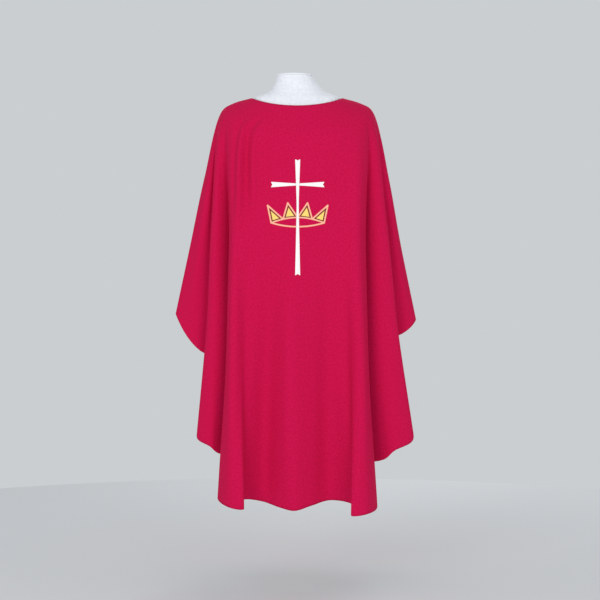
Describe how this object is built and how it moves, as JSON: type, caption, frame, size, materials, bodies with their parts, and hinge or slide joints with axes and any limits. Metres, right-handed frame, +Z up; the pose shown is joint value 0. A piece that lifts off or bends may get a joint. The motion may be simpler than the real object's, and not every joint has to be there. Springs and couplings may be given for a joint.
{
  "type": "chasuble",
  "caption": "Red sleeveless vestment hanging from the shoulders in deep side folds, with an embroidered cross and crown on the chest and a white standing collar that lifts out.",
  "frame": {"origin": "centre of the neck opening at the height of the shoulder line, where a wearer's or stand's shoulders carry the garment", "axes": "+X towards the wearer's left, -Y out of the embroidered front, +Z up"},
  "size_m": [0.7497, 0.4467, 1.3414],
  "materials": {
    "crimson_cloth": "matte polyester crepe with a fine dry grain",
    "crimson_facing": "matte plain-weave facing and stay tape",
    "white_satin_stitch": "raised satin stitch in white rayon thread",
    "gold_satin_stitch": "raised satin stitch in yellow gold thread",
    "peach_gold_stitch": "narrow satin outline in pale copper gold thread",
    "white_backing": "non-woven embroidery backing",
    "white_linen": "soft matte white plain weave"
  },
  "bodies": {
    "garment": {"front_panel": "crimson_cloth", "back_panel": "crimson_cloth", "front_neck_facing": "crimson_facing", "back_neck_facing": "crimson_facing", "front_hem_facing": "crimson_facing", "back_hem_facing": "crimson_facing", "right_shoulder_tape": "crimson_facing", "left_shoulder_tape": "crimson_facing", "cross_upright": "white_satin_stitch", "cross_arm_right": "white_satin_stitch", "cross_arm_left": "white_satin_stitch", "crown_outline_right": "peach_gold_stitch", "crown_outline_left": "peach_gold_stitch", "crown_side_point_right": "gold_satin_stitch", "crown_side_point_left": "gold_satin_stitch", "crown_middle_point_right": "gold_satin_stitch", "crown_middle_point_left": "gold_satin_stitch", "embroidery_backing": "white_backing"},
    "collar": {"collar_stand": "white_linen", "collar_yoke": "white_linen", "collar_edge": "white_linen"}
  },
  "joints": [
    {"name": "collar_lift", "type": "slide", "parent": "garment", "child": "collar", "axis": [0, 0, 1], "range_m": [0, 0.12]}
  ]
}
